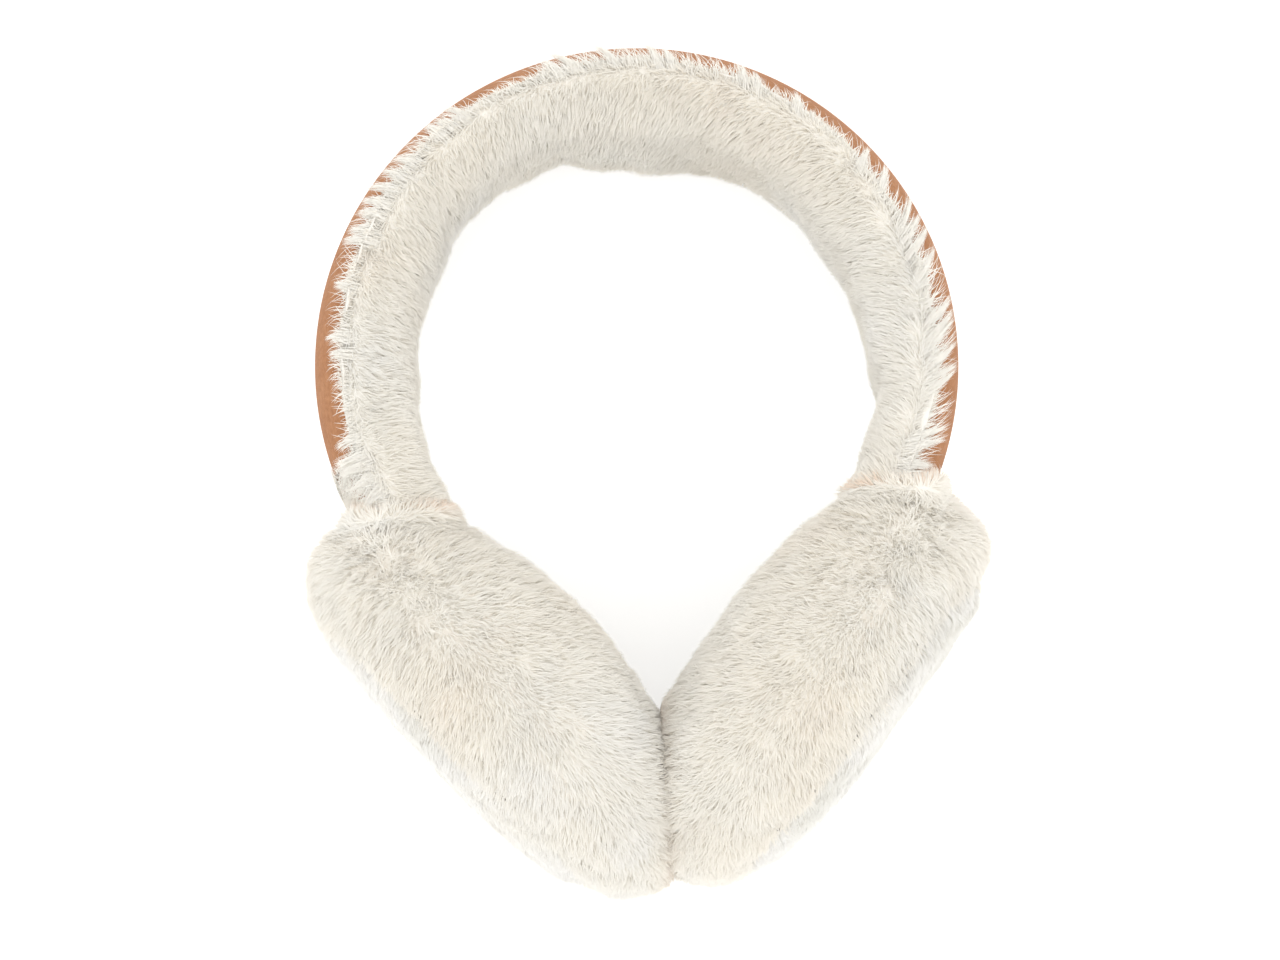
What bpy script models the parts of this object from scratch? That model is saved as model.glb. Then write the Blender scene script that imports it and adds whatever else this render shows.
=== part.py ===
"""Sheepskin earmuffs, lying on their side as they rest on a table.

A strip of suede is crowned over the outside of a round headband, and a deep fleece lines the
inside, with locks that spill over both edges of the suede. Each end of the band sits in a
pocket of an oval ear pad. A pad is a thick fleece cushion on the ear's side, joined at a
pulled-in seam to a shallow outer panel. The spring of the band leans the two pads together
until they press on each other.

Everything is drawn in the band's own plane, with the origin at the centre of the band's
circle: X across, Y towards the crown of the head, Z across the band's width. One empty then
lays the assembly on the table, on the pads' rims and the top of the band. Metres and degrees.
"""

from collections import namedtuple
from math import atan2, cos, hypot, pi, radians, sin

import bmesh
import bpy
import numpy as np

# Headband
BAND_RADIUS = 0.0733  # centre of the circle to the crown of the suede
SUEDE_WIDTH = 0.035
SUEDE_WALL = 0.0016
SUEDE_CROWN = 0.0065  # the edges lie this much nearer the centre than the crown
SUEDE_PAST_FLEECE = 0.003  # how much deeper in the pad the suede ends than the fleece
FLEECE_PILE = 0.0193  # from the suede to the head, at the sides of the band
FLEECE_OVERHANG = 0.003  # how far the fleece stands out past each edge of the suede
FLEECE_LIP = 0.0022  # thickness of the locks that stand over the suede's edge
LIP_TOOTH = 0.0014  # how unevenly their tips end

# Ear pads
PAD_LENGTH = 0.108
PAD_DEPTH = 0.085  # across the band's width
EAR_SIDE_RISE = 0.0233  # from the rim's middle to the face that meets the ear
OUTER_SIDE_RISE = 0.0233
OUTER_PANEL = 0.0038  # thickness of the outer panel, from its face to the seam
SEAM_PULL = 0.0030  # how deep the seam draws the rim in
SEAM_SPREAD = 0.0022  # half the width of that groove
RIM_POWER = 2.1  # 2 is an ellipse, more is squarer
EAR_SIDE_POWER = 2.3
OUTER_SIDE_POWER = 3.6
MEETING_X = 0.0069  # where the two pads press on each other
MEETING_PRESS = 0.0090  # how much each pad gives there

# Locks of the fleece
PAD_LOCK = 0.0125  # from one lock to the next
PAD_LOCK_RISE = 0.0021
PAD_CALM = 0.55  # share of the pad's half depth round each face's middle that has no locks
BAND_LOCK = 0.0100
BAND_LOCK_RISE = 0.0016
BAND_CALM_DEG = 9.0  # the band's fleece has no locks this far from its ends

# Clearances
SEWN_GAP = 0.0003  # between pieces that are sewn or pressed together
POCKET_GAP = 0.0008  # round the end of the band in its pocket
POCKET_REACH_DEG = 30.0  # how far the cutter of a pocket runs back along the band
REST_PRESS = 0.0012  # how far the fleece gives where it rests on the table

# Fineness of the surfaces
BAND_STATIONS = 68
SUEDE_STATIONS = 52
SUEDE_POINTS = 7
POCKET_STATIONS = 12
PAD_COLUMNS = 54
EAR_SIDE_ROWS = 15
OUTER_PANEL_ROWS = 6
PROFILE_SAMPLES = 400  # of a pad's profile, before it is spaced evenly

# How the pile's depth changes round the band: angles from +X, and shares of FLEECE_PILE on
# the upper and the lower half of the band's width. At the crown the lower half bulges inwards.
Pile = namedtuple("Pile", "angle upper lower")
PILES = [
    Pile(-35, 0.74, 0.74),
    Pile(-20, 0.80, 0.80),
    Pile(-10, 0.74, 0.76),
    Pile(2, 0.91, 0.90),
    Pile(18, 0.94, 0.94),
    Pile(35, 1.03, 1.00),
    Pile(60, 1.02, 1.02),
    Pile(74, 1.04, 1.14),
    Pile(86, 1.04, 1.28),
    Pile(98, 1.00, 1.14),
    Pile(110, 0.94, 0.90),
    Pile(142, 0.91, 0.90),
    Pile(155, 0.98, 0.98),
    Pile(180, 0.99, 0.99),
    Pile(200, 0.96, 0.96),
    Pile(212, 0.91, 0.91),
    Pile(226, 0.80, 0.80),
]

# How far the edge locks reach over the suede's slope: 0 leaves it bare, 1 hides it
Spill = namedtuple("Spill", "angle share")
SPILLS = [
    Spill(-24, 0.70),
    Spill(-17, 1.00),
    Spill(-9, 0.75),
    Spill(4, 0.92),
    Spill(20, 0.68),
    Spill(32, 0.32),
    Spill(43, 0.25),
    Spill(50, 0.03),
    Spill(64, 0.00),
    Spill(72, 0.25),
    Spill(80, 0.31),
    Spill(86, 0.10),
    Spill(93, 0.45),
    Spill(104, 0.40),
    Spill(111, 0.00),
    Spill(121, 0.02),
    Spill(131, 0.53),
    Spill(143, 0.33),
    Spill(152, 0.54),
    Spill(165, 0.50),
    Spill(176, 0.35),
    Spill(196, 0.48),
    Spill(205, 1.00),
    Spill(214, 1.00),
]

# Half of the fleece's cross-section from the head's side round to the lip, as shares of its
# half width and of the pile's depth
FleecePoint = namedtuple("FleecePoint", "across deep")
FLEECE_SECTION = [
    FleecePoint(0.00, 1.00),
    FleecePoint(0.38, 0.98),
    FleecePoint(0.72, 0.91),
    FleecePoint(0.93, 0.72),
    FleecePoint(1.00, 0.46),
    FleecePoint(0.97, 0.22),
]

# The pads. side: the sign of X. end_inner and end_outer: the angles at which the fleece of the
# band ends in the pad, at the head's side and at the suede. pocket_along and pocket_in: where
# that end sits in the pad, as shares of its half length and of its rise on the ear's side.
Pad = namedtuple("Pad", "name side end_inner end_outer pocket_along pocket_in")
LEFT = Pad("left", -1, 222.3, 212.9, -0.763, 0.455)
RIGHT = Pad("right", 1, -32.7, -26.5, -0.768, 0.55)

FLEECE_HALF = SUEDE_WIDTH / 2 + FLEECE_OVERHANG
FLEECE_COLOUR = (0.83, 0.78, 0.69, 1.0)
SUEDE_COLOUR = (0.53, 0.27, 0.14, 1.0)


def material(name, colour, roughness):
    """A plain Principled material."""
    made = bpy.data.materials.new(name)
    made.use_nodes = True
    shader = made.node_tree.nodes["Principled BSDF"]
    shader.inputs["Base Color"].default_value = colour
    shader.inputs["Roughness"].default_value = roughness
    shader.inputs["Metallic"].default_value = 0.0
    return made


def solid(name, points, faces, finish, parent):
    """One closed object from points and faces, with its faces turned outwards."""
    mesh = bpy.data.meshes.new(name)
    mesh.from_pydata([tuple(point) for point in points], [], faces)
    work = bmesh.new()
    work.from_mesh(mesh)
    bmesh.ops.recalc_face_normals(work, faces=work.faces)
    work.to_mesh(mesh)
    work.free()
    mesh.shade_smooth()
    if finish:
        mesh.materials.append(finish)
    made = bpy.data.objects.new(name, mesh)
    bpy.context.scene.collection.objects.link(made)
    made.parent = parent
    return made


def points_of(mesh):
    """The mesh's vertices and their normals, as two arrays."""
    places = np.array([vertex.co for vertex in mesh.vertices], float)
    normals = np.array([normal.vector for normal in mesh.vertex_normals], float)
    return places, normals


def set_points(mesh, places):
    """Puts the mesh's vertices at these places."""
    mesh.vertices.foreach_set("co", places.astype(np.float32).ravel())
    mesh.update()


def from_table(rows, column, angles):
    """A table's column at each angle, eased from row to row by a half cosine."""
    known = np.array([row.angle for row in rows], float)
    shares = np.array([getattr(row, column) for row in rows], float)
    at = np.clip(np.searchsorted(known, angles) - 1, 0, len(known) - 2)
    along = np.clip((angles - known[at]) / (known[at + 1] - known[at]), 0, 1)
    ease = (1 - np.cos(pi * along)) / 2
    return shares[at] * (1 - ease) + shares[at + 1] * ease


def scattered(places, spacing, seed):
    """Some of the places, picked in a seeded order so that none is nearer than spacing."""
    kept = []
    for index in np.random.default_rng(seed).permutation(len(places)):
        place = places[index]
        if all(np.linalg.norm(place - other) >= spacing for other in kept):
            kept.append(place)
    return np.array(kept)


def lock_heights(places, lays, spacing, seed):
    """How high each place stands on its lock, from -0.5 to 0.5. A lock rises along its lay
    from its root to its tip and drops where the next one begins."""
    roots = scattered(places, spacing, seed)
    away = places[:, None, :] - roots[None, :, :]
    nearest = np.argmin(np.linalg.norm(away, axis=2), axis=1)
    own = away[np.arange(len(places)), nearest]
    along = (own * lays).sum(axis=1) / spacing
    return np.clip(along, -0.5, 0.5)


def loft(sections):
    """Faces for closed sections of equal point count, with both ends capped."""
    stations, count = sections.shape[:2]
    last = (stations - 1) * count
    faces = [tuple(range(count)), tuple(reversed(range(last, last + count)))]
    for low in range(0, last, count):
        for point in range(count):
            after = (point + 1) % count
            high = low + count
            faces.append((low + point, high + point, high + after, low + after))
    return sections.reshape(-1, 3), faces


def polar(angles, radii, across):
    """Points of the band from an angle in degrees, a radius and a place across its width."""
    turns, radii, across = np.broadcast_arrays(np.radians(angles), radii, across)
    return np.stack([radii * np.cos(turns), radii * np.sin(turns), across], axis=-1)


def suede_radius(across):
    """Outer radius of the suede at a place across its width: a shallow parabola."""
    return BAND_RADIUS - SUEDE_CROWN * (2 * across / SUEDE_WIDTH) ** 2


def end_angle(pad, deep):
    """Where the fleece ends in this pad, at a share of the pile's depth from the suede."""
    return pad.end_outer + (pad.end_inner - pad.end_outer) * deep


def suede_end(pad):
    """The angle at which the suede ends in this pad."""
    return pad.end_outer - pad.side * np.degrees(SUEDE_PAST_FLEECE / BAND_RADIUS)


def station_angles(deep):
    """The fleece's stations from the right pad to the left one, at a share of its depth."""
    return np.linspace(end_angle(RIGHT, deep), end_angle(LEFT, deep), BAND_STATIONS)


def pile_at(angles, side):
    """Depth of the pile at these angles, from the lower (-1) to the upper half (1)."""
    upper = from_table(PILES, "upper", angles)
    lower = from_table(PILES, "lower", angles)
    return FLEECE_PILE * ((1 + side) * upper + (1 - side) * lower) / 2


def band_freedom():
    """1 at the stations of the free band, falling to 0 towards its ends in the pockets."""
    angles = station_angles(0)
    inward = np.minimum(angles - RIGHT.end_outer, LEFT.end_outer - angles)
    return np.clip(inward / BAND_CALM_DEG - 1, 0, 1)


def build_suede(finish, parent):
    """The crowned strip, one wall from end to end."""
    across = np.linspace(-SUEDE_WIDTH / 2, SUEDE_WIDTH / 2, SUEDE_POINTS)
    outer = suede_radius(across)
    ring_across = np.concatenate([across, across[::-1]])
    ring_radii = np.concatenate([outer, outer[::-1] - SUEDE_WALL])
    angles = np.linspace(suede_end(RIGHT), suede_end(LEFT), SUEDE_STATIONS)
    points, faces = loft(polar(angles[:, None], ring_radii, ring_across))
    return solid("suede_band", points, faces, finish, parent)


def fleece_half(side, teeth):
    """The columns of one half of the fleece's section, from the head's side outwards, each
    with its share of the pile's depth."""
    under = BAND_RADIUS - SUEDE_WALL - SEWN_GAP
    edge = SUEDE_WIDTH / 2
    columns = []
    for point in FLEECE_SECTION:
        angles = station_angles(point.deep)
        radii = under - pile_at(angles, side * point.across) * point.deep
        columns.append((polar(angles, radii, side * FLEECE_HALF * point.across), point.deep))
    angles = station_angles(0)
    tips = suede_radius(edge) + SUEDE_CROWN * from_table(SPILLS, "share", angles)
    tips = np.clip(tips + LIP_TOOTH * teeth, suede_radius(edge), BAND_RADIUS - SEWN_GAP)
    columns.append((polar(angles, tips, side * (edge + SEWN_GAP + FLEECE_LIP / 2)), 0))
    for across, near in ((edge + SEWN_GAP, edge), (edge / 2, edge / 2)):
        radius = suede_radius(near) - SUEDE_WALL - SEWN_GAP
        columns.append((polar(angles, radius, side * across), 0))
    return columns


def build_fleece(finish, parent, table):
    """The lining of the band: a deep pile whose locks stand over the suede's edges."""
    teeth = np.random.default_rng(3).uniform(-1, 1, (2, BAND_STATIONS))
    middle = polar(station_angles(0), BAND_RADIUS - SUEDE_WALL - SEWN_GAP, 0)
    ring = fleece_half(1, teeth[0]) + [(middle, 0)] + fleece_half(-1, teeth[1])[:0:-1]
    points, faces = loft(np.stack([column for column, _ in ring], axis=1))
    made = solid("band_fleece", points, faces, finish, parent)
    places, normals = points_of(made.data)
    free = band_freedom()[:, None] * np.array([deep > 0 for _, deep in ring], float)
    lays = np.sign(places) * (0, 0, 1)
    heights = lock_heights(places, lays, BAND_LOCK, seed=11)
    places += normals * (BAND_LOCK_RISE * heights * free.ravel())[:, None]
    set_points(made.data, table.press(places))
    return made


class PadForm:
    """Where one pad lies, and the shape that both of its panels share."""

    def __init__(self, pad):
        self.pad = pad
        self.half_length = PAD_LENGTH / 2
        self.half_depth = PAD_DEPTH / 2
        steep, flat = 85.0, 5.0
        while steep - flat > 0.001:
            lean = (steep + flat) / 2
            self.lean(radians(lean))
            if self.past_meeting() > MEETING_PRESS:
                flat = lean
            else:
                steep = lean

    def lean(self, angle):
        """Lays the pad's long axis this far below X, with the band's end in its pocket."""
        side = self.pad.side
        self.long_axis = np.array([-side * cos(angle), -sin(angle), 0.0])
        self.ear_axis = np.array([-side * sin(angle), cos(angle), 0.0])
        end = (self.pad.end_inner + self.pad.end_outer) / 2
        band_end = polar(end, BAND_RADIUS - SUEDE_WALL - FLEECE_PILE / 2, 0)
        along = self.pad.pocket_along * self.half_length
        inwards = self.pad.pocket_in * EAR_SIDE_RISE
        self.centre = band_end - self.long_axis * along - self.ear_axis * inwards

    def past_meeting(self):
        """How far the pad would reach past the plane where the two meet."""
        reach = hypot(self.half_length * self.long_axis[0], EAR_SIDE_RISE * self.ear_axis[0])
        return self.pad.side * (MEETING_X - self.centre[0]) + reach

    def profile(self, ear_side, rows):
        """Shares of the outline and heights on the ear axis, from a panel's middle to the
        seam, spaced evenly along the surface."""
        turn = np.linspace(0, pi / 2, PROFILE_SAMPLES)
        ear_share, ear_height = np.array([np.sin(turn), np.cos(turn)]) ** (2 / EAR_SIDE_POWER)
        out_share, out_height = np.array([np.sin(turn), np.cos(turn)]) ** (2 / OUTER_SIDE_POWER)
        share = np.concatenate([ear_share, out_share[-2::-1]])
        height = np.concatenate([EAR_SIDE_RISE * ear_height, -OUTER_SIDE_RISE * out_height[-2::-1]])
        seam = OUTER_PANEL - OUTER_SIDE_RISE
        mean = (self.half_length + self.half_depth) / 2
        share *= 1 - SEAM_PULL / mean * np.exp(-(((height - seam) / SEAM_SPREAD) ** 2))
        if ear_side:
            kept = height >= seam + SEWN_GAP / 2
        else:
            kept = height <= seam - SEWN_GAP / 2
            kept, share, height = kept[::-1], share[::-1], height[::-1]
        share, height = share[kept], height[kept]
        steps = np.hypot(np.diff(share * mean), np.diff(height))
        length = np.concatenate([[0], np.cumsum(steps)])
        even = np.linspace(0, length[-1], rows + 1)
        return np.interp(even, length, share), np.interp(even, length, height)

    def panel(self, ear_side, rows):
        """Points and faces of a panel: a fan at its middle, rows to the seam, a fan inside."""
        share, height = self.profile(ear_side, rows)
        turn = np.linspace(0, 2 * pi, PAD_COLUMNS, endpoint=False)
        along = self.half_length * np.sign(np.cos(turn)) * np.abs(np.cos(turn)) ** (2 / RIM_POWER)
        deep = self.half_depth * np.sign(np.sin(turn)) * np.abs(np.sin(turn)) ** (2 / RIM_POWER)
        outline = along[:, None] * self.long_axis + deep[:, None] * np.array([0.0, 0.0, 1.0])
        middles = self.centre + height[:, None] * self.ear_axis
        rings = middles[1:, None, :] + share[1:, None, None] * outline
        points = np.concatenate([middles[:1], rings.reshape(-1, 3), middles[-1:]])
        faces = []
        for column in range(PAD_COLUMNS):
            after = (column + 1) % PAD_COLUMNS
            faces.append((0, 1 + column, 1 + after))
            for low in range(1, 1 + (rows - 1) * PAD_COLUMNS, PAD_COLUMNS):
                high = low + PAD_COLUMNS
                faces.append((low + column, high + column, high + after, low + after))
            seam = 1 + (rows - 1) * PAD_COLUMNS
            faces.append((seam + column, len(points) - 1, seam + after))
        return points, faces


class Table:
    """The table in the band's frame, set by what rests on it: the pads' rims and the fleece
    at the top of the band. lift is the height of the band's centre over the table."""

    def __init__(self, forms):
        pad_y = sum(form.centre[1] for form in forms) / len(forms)
        crown_y = BAND_RADIUS - SUEDE_WALL - FLEECE_PILE / 2
        self.tilt = atan2(PAD_DEPTH / 2 - FLEECE_HALF, crown_y - pad_y)
        self.up = np.array([0.0, -sin(self.tilt), cos(self.tilt)])
        self.lift = crown_y * sin(self.tilt) + FLEECE_HALF * cos(self.tilt) - REST_PRESS

    def press(self, places):
        """Places below the table, raised straight up onto it."""
        below = np.minimum(places @ self.up + self.lift, 0)
        return places - below[:, None] * self.up


def build_panel(form, ear_side, finish, parent, table):
    """One fleece panel of a pad, with its locks, pressed where it meets pad and table."""
    rows = EAR_SIDE_ROWS if ear_side else OUTER_PANEL_ROWS
    points, faces = form.panel(ear_side, rows)
    name = f"{form.pad.name}_pad_{'cushion' if ear_side else 'outer_panel'}"
    made = solid(name, points, faces, finish, parent)
    places, normals = points_of(made.data)
    outwards = places - form.centre
    outwards -= (outwards @ form.ear_axis)[:, None] * form.ear_axis
    outwards /= form.half_depth
    free = np.clip(np.linalg.norm(outwards, axis=1) / PAD_CALM - 1, 0, 1)
    free[-1 - PAD_COLUMNS :] = 0
    lays = outwards + form.long_axis
    lays /= np.maximum(np.linalg.norm(lays, axis=1), SEWN_GAP)[:, None]
    heights = lock_heights(places, lays, PAD_LOCK, seed=len(name))
    places += normals * (PAD_LOCK_RISE * heights * free)[:, None]
    places = table.press(places)
    side = form.pad.side
    places[:, 0] = side * np.maximum(side * places[:, 0], side * MEETING_X + SEWN_GAP / 2)
    set_points(made.data, places)
    return made


def pocket_cutter(pad, parent):
    """The space that the band's end takes in a pad: its outline with a clearance all round."""
    reach = POCKET_REACH_DEG * np.linspace(0, 1, POCKET_STATIONS)
    over = np.degrees(POCKET_GAP / BAND_RADIUS)
    half = FLEECE_HALF + POCKET_GAP
    flank = [(half, 0)] + [(half * point.across, point.deep) for point in FLEECE_SECTION[::-1]]
    ring = flank + [(-across, deep) for across, deep in flank[-2::-1]]
    columns = []
    for across, deep in ring:
        end = pad.side * min(pad.side * end_angle(pad, deep), pad.side * suede_end(pad))
        angles = end + pad.side * (reach - over)
        depth = SUEDE_WALL + pile_at(angles, across / half) + 2 * POCKET_GAP
        columns.append(polar(angles, BAND_RADIUS + POCKET_GAP - depth * deep, across))
    points, faces = loft(np.stack(columns, axis=1))
    made = solid(f"{pad.name}_pocket_cutter", points, faces, None, parent)
    made.hide_render = True
    made.display_type = "WIRE"
    return made


def cut(target, cutter):
    """Takes the cutter's shape out of the target."""
    modifier = target.modifiers.new("pocket", "BOOLEAN")
    modifier.operation = "DIFFERENCE"
    modifier.object = cutter


def lay_down(root, table, pieces):
    """Tilts the assembly onto the table and centres its footprint on the origin."""
    root.rotation_euler.x = -table.tilt
    bpy.context.view_layer.update()
    turned = [
        points_of(piece.data)[0] @ np.array(piece.matrix_world.to_3x3()).T for piece in pieces
    ]
    corners = np.concatenate(turned)
    middle = (corners.min(axis=0) + corners.max(axis=0)) / 2
    root.location = (-middle[0], -middle[1], table.lift)


def main():
    for thing in list(bpy.data.objects):
        bpy.data.objects.remove(thing)
    root = bpy.data.objects.new("earmuffs", None)
    bpy.context.scene.collection.objects.link(root)
    fleece = material("fleece", FLEECE_COLOUR, 0.95)
    suede = material("suede", SUEDE_COLOUR, 0.85)
    forms = [PadForm(LEFT), PadForm(RIGHT)]
    table = Table(forms)
    pieces = [build_suede(suede, root), build_fleece(fleece, root, table)]
    for form in forms:
        cushion = build_panel(form, True, fleece, root, table)
        cut(cushion, pocket_cutter(form.pad, root))
        pieces += [cushion, build_panel(form, False, fleece, root, table)]
    lay_down(root, table, pieces)


main()
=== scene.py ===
"""Sheepskin earmuffs on a pale table, seen from straight above.

Every surface is worked out in the band's own frame, as the solids are: the origin at the centre
of the band's circle, X across, Y towards the crown, Z across the band's width. laid() then turns
it onto the table. The fleece is a closed body with short blades of wool standing on it.
"""

from collections import namedtuple

import bpy
import numpy as np
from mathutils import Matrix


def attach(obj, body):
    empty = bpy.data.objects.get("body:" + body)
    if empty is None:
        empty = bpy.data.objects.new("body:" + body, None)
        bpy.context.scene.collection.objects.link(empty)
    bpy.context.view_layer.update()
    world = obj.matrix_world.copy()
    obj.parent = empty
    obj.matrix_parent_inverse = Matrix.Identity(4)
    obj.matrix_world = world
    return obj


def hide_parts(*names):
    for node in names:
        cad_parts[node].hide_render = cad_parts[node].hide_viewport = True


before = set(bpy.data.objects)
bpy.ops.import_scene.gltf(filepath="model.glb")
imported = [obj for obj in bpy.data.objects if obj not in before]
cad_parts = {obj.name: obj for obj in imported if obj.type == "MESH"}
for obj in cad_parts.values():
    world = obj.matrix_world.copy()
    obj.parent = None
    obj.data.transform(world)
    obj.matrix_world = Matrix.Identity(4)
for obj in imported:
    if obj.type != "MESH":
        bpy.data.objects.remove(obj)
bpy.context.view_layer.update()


# Camera, table and light. A long lens looks straight down from over a metre, so that the band
# reads as a round hoop. The table glows white, as for shadowless pictures, and a white room lights
# all sides evenly, with only a little more light from a broad softbox above.

CAMERA_PLACE = (-0.0030, -0.0033, 1.15)
CAMERA_SENSOR = 36.0
CAMERA_LENS = 138.3
ROOM_LIGHT = 1.11
SOFTBOX_PLACE = (0, 0.1, 1.5)
SOFTBOX_SIDE = 1.3
SOFTBOX_POWER = 2.4
TABLE_SIDE = 6.0
TABLE_COLOUR = (0.85, 0.85, 0.85, 1)
TABLE_GLOW = 0.45


class Wire:
    """An output socket of a material. Arithmetic on it adds Math nodes."""

    def __init__(self, tree, socket):
        self.tree, self.socket = tree, socket

    def node(self, kind, settings, sockets, output=0):
        """Adds a node, sets it, then fills its sockets with values or links."""
        made = self.tree.nodes.new("ShaderNode" + kind)
        for name, value in settings.items():
            if name == "stops":
                ramp = made.color_ramp.elements
                for place, colour in value[2:]:
                    ramp.new(place)
                for stop, (place, colour) in zip(ramp, value):
                    stop.position = place
                    stop.color = (*colour, 1)
            else:
                setattr(made, name, value)
        for name, value in sockets.items():
            if isinstance(value, Wire):
                self.tree.links.new(value.socket, made.inputs[name])
            else:
                made.inputs[name].default_value = value
        return Wire(self.tree, made.outputs[output])

    def math(self, operation, *values):
        return self.node("Math", {"operation": operation}, dict(enumerate(values)))

    def __add__(self, other):
        return self.math("ADD", self, other)

    def __rsub__(self, other):
        return self.math("SUBTRACT", other, self)

    def __mul__(self, other):
        return self.math("MULTIPLY", self, other)

    def __pow__(self, other):
        return self.math("POWER", self, other)

    def clamped(self, low, high):
        """The wire from low to high, as 0 to 1."""
        sockets = {"Value": self, "From Min": low, "From Max": high}
        return self.node("MapRange", {"clamp": True}, sockets)

    def between(self, first, second):
        """A colour that goes from the first to the second as the wire goes from 0 to 1."""
        mix = {"data_type": "RGBA", "blend_type": "MIX"}
        return self.node("Mix", mix, {0: self, 6: first, 7: second}, output=2)

    def noise(self, scale, detail, roughness=0.5):
        """Noise at this many features a metre, on the coordinates in the wire."""
        sockets = {"Vector": self, "Scale": scale, "Detail": detail, "Roughness": roughness}
        return self.node("TexNoise", {}, sockets)

    def feed(self, shader, name):
        self.tree.links.new(self.socket, shader.inputs[name])


def finish(name, constants):
    """A material with its shader's constants set, and the wire of its Object coordinates."""
    made = bpy.data.materials.new(name)
    made.use_nodes = True
    shader = made.node_tree.nodes["Principled BSDF"]
    for socket, value in constants.items():
        shader.inputs[socket].default_value = value
    places = made.node_tree.nodes.new("ShaderNodeTexCoord").outputs["Object"]
    return made, shader, Wire(made.node_tree, places)


def placed(name, data):
    """A new object at the origin."""
    made = bpy.data.objects.new(name, data)
    bpy.context.scene.collection.objects.link(made)
    return made


def mesh_of(name, places, triangles, material):
    """A smooth mesh piece from arrays of points and triangles."""
    mesh = bpy.data.meshes.new(name)
    mesh.vertices.add(len(places))
    mesh.vertices.foreach_set("co", places.astype(np.float32).ravel())
    mesh.loops.add(triangles.size)
    mesh.loops.foreach_set("vertex_index", triangles.astype(np.int32).ravel())
    mesh.polygons.add(len(triangles))
    mesh.polygons.foreach_set("loop_start", np.arange(0, triangles.size, 3, dtype=np.int32))
    mesh.update(calc_edges=True)
    mesh.shade_smooth()
    mesh.materials.append(material)
    return placed(name, mesh)


camera = placed("camera", bpy.data.cameras.new("camera"))
camera.location = CAMERA_PLACE
camera.data.sensor_width = CAMERA_SENSOR
camera.data.lens = CAMERA_LENS
camera.data.clip_end = 20.0
bpy.context.scene.camera = camera

softbox = placed("softbox", bpy.data.lights.new("softbox", "AREA"))
softbox.location = SOFTBOX_PLACE
softbox.data.size = SOFTBOX_SIDE
softbox.data.energy = SOFTBOX_POWER

room = bpy.data.worlds.new("room")
room.use_nodes = True
room.node_tree.nodes["Background"].inputs["Color"].default_value = (1, 1, 1, 1)
room.node_tree.nodes["Background"].inputs["Strength"].default_value = ROOM_LIGHT
bpy.context.scene.world = room
bpy.context.scene.view_settings.view_transform = "Standard"

table_finish = finish(
    "pale_table",
    {
        "Base Color": TABLE_COLOUR,
        "Roughness": 0.9,
        "Specular IOR Level": 0.1,
        "Emission Color": (1, 1, 1, 1),
        "Emission Strength": TABLE_GLOW,
    },
)[0]
corners = np.array([[-1, -1, 0], [1, -1, 0], [1, 1, 0], [-1, 1, 0]]) * TABLE_SIDE / 2
table_top = mesh_of("table_top", corners, np.array([[0, 1, 2], [0, 2, 3]]), table_finish)


# Suede band. A strip of tan suede, crowned across its width, goes over the crown from one ear
# pad to the other. Its nap is brushed, so it is mottled and catches light unevenly.

BAND_CENTRE = np.array([-0.0037518, 0.0230949, 0.0290622])  # of the band's circle, as it lies
BAND_TILT = np.radians(9.304)
BAND_RADIUS = 0.0733
SUEDE_WIDTH = 0.035
SUEDE_WALL = 0.0016
SUEDE_CROWN = 0.0065
SUEDE_ENDS = (-28.85, 215.25)  # degrees round the band
SUEDE_COLUMNS = 29
SUEDE_STATIONS = 260
SUEDE_TAN = (0.440, 0.200, 0.089, 1)
SUEDE_LIGHT = (0.515, 0.255, 0.124, 1)
SUEDE_DARK = (0.315, 0.132, 0.055, 1)


def laid(points):
    """Points of the band's frame as they lie: turned by the tilt about X, then moved."""
    y = points[..., 1] * np.cos(BAND_TILT) + points[..., 2] * np.sin(BAND_TILT)
    z = points[..., 2] * np.cos(BAND_TILT) - points[..., 1] * np.sin(BAND_TILT)
    return np.stack([points[..., 0], y, z], axis=-1) + BAND_CENTRE


def polar(angles, radii, across):
    """Points of the band: radius times the angle's cosine and sine, and a place across."""
    turns, radii, across = np.broadcast_arrays(np.radians(angles), radii, across)
    return np.stack([radii * np.cos(turns), radii * np.sin(turns), across], axis=-1)


def turn_of(points):
    """The points' angles round the band, from -90 to 270 degrees."""
    angles = np.degrees(np.arctan2(points[..., 1], points[..., 0]))
    return np.where(angles < -90, angles + 360, angles)


def suede_radius(across):
    """Outer radius of the suede: a shallow parabola across its width."""
    return BAND_RADIUS - SUEDE_CROWN * (2 * across / SUEDE_WIDTH) ** 2


def facing(vectors):
    """The vectors at length 1."""
    return vectors / np.maximum(np.linalg.norm(vectors, axis=-1, keepdims=True), 1e-12)


def level(vectors):
    """The vectors as seen along the band's axis, at length 1."""
    return facing(vectors * (1, 1, 0))


def rising(values, width):
    """0 for values up to 0, growing evenly to 1 at the width."""
    return np.clip(values / width, 0, 1)


def shell(rings):
    """Triangles of rings of equal point count, joined side by side, with a fan to the middle
    of the first and of the last ring. Turned round where the enclosed volume is negative."""
    count, around = rings.shape[:2]
    places = np.concatenate([rings.reshape(-1, 3), rings[[0, -1]].mean(axis=1)])
    low = np.arange((count - 1) * around).reshape(count - 1, around)
    after = np.roll(low, -1, axis=1)
    sides = np.stack([low, low + around, after + around, low, after + around, after], axis=-1)
    first = np.arange(around)
    following = np.roll(first, -1)
    last = (count - 1) * around
    start = np.stack([np.full(around, count * around), first, following], axis=-1)
    end = np.stack([np.full(around, count * around + 1), last + following, last + first], axis=-1)
    triangles = np.concatenate([sides.reshape(-1, 3), start, end])
    if np.linalg.det(places[triangles]).sum() < 0:
        triangles = triangles[:, ::-1]
    return places, triangles


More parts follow.
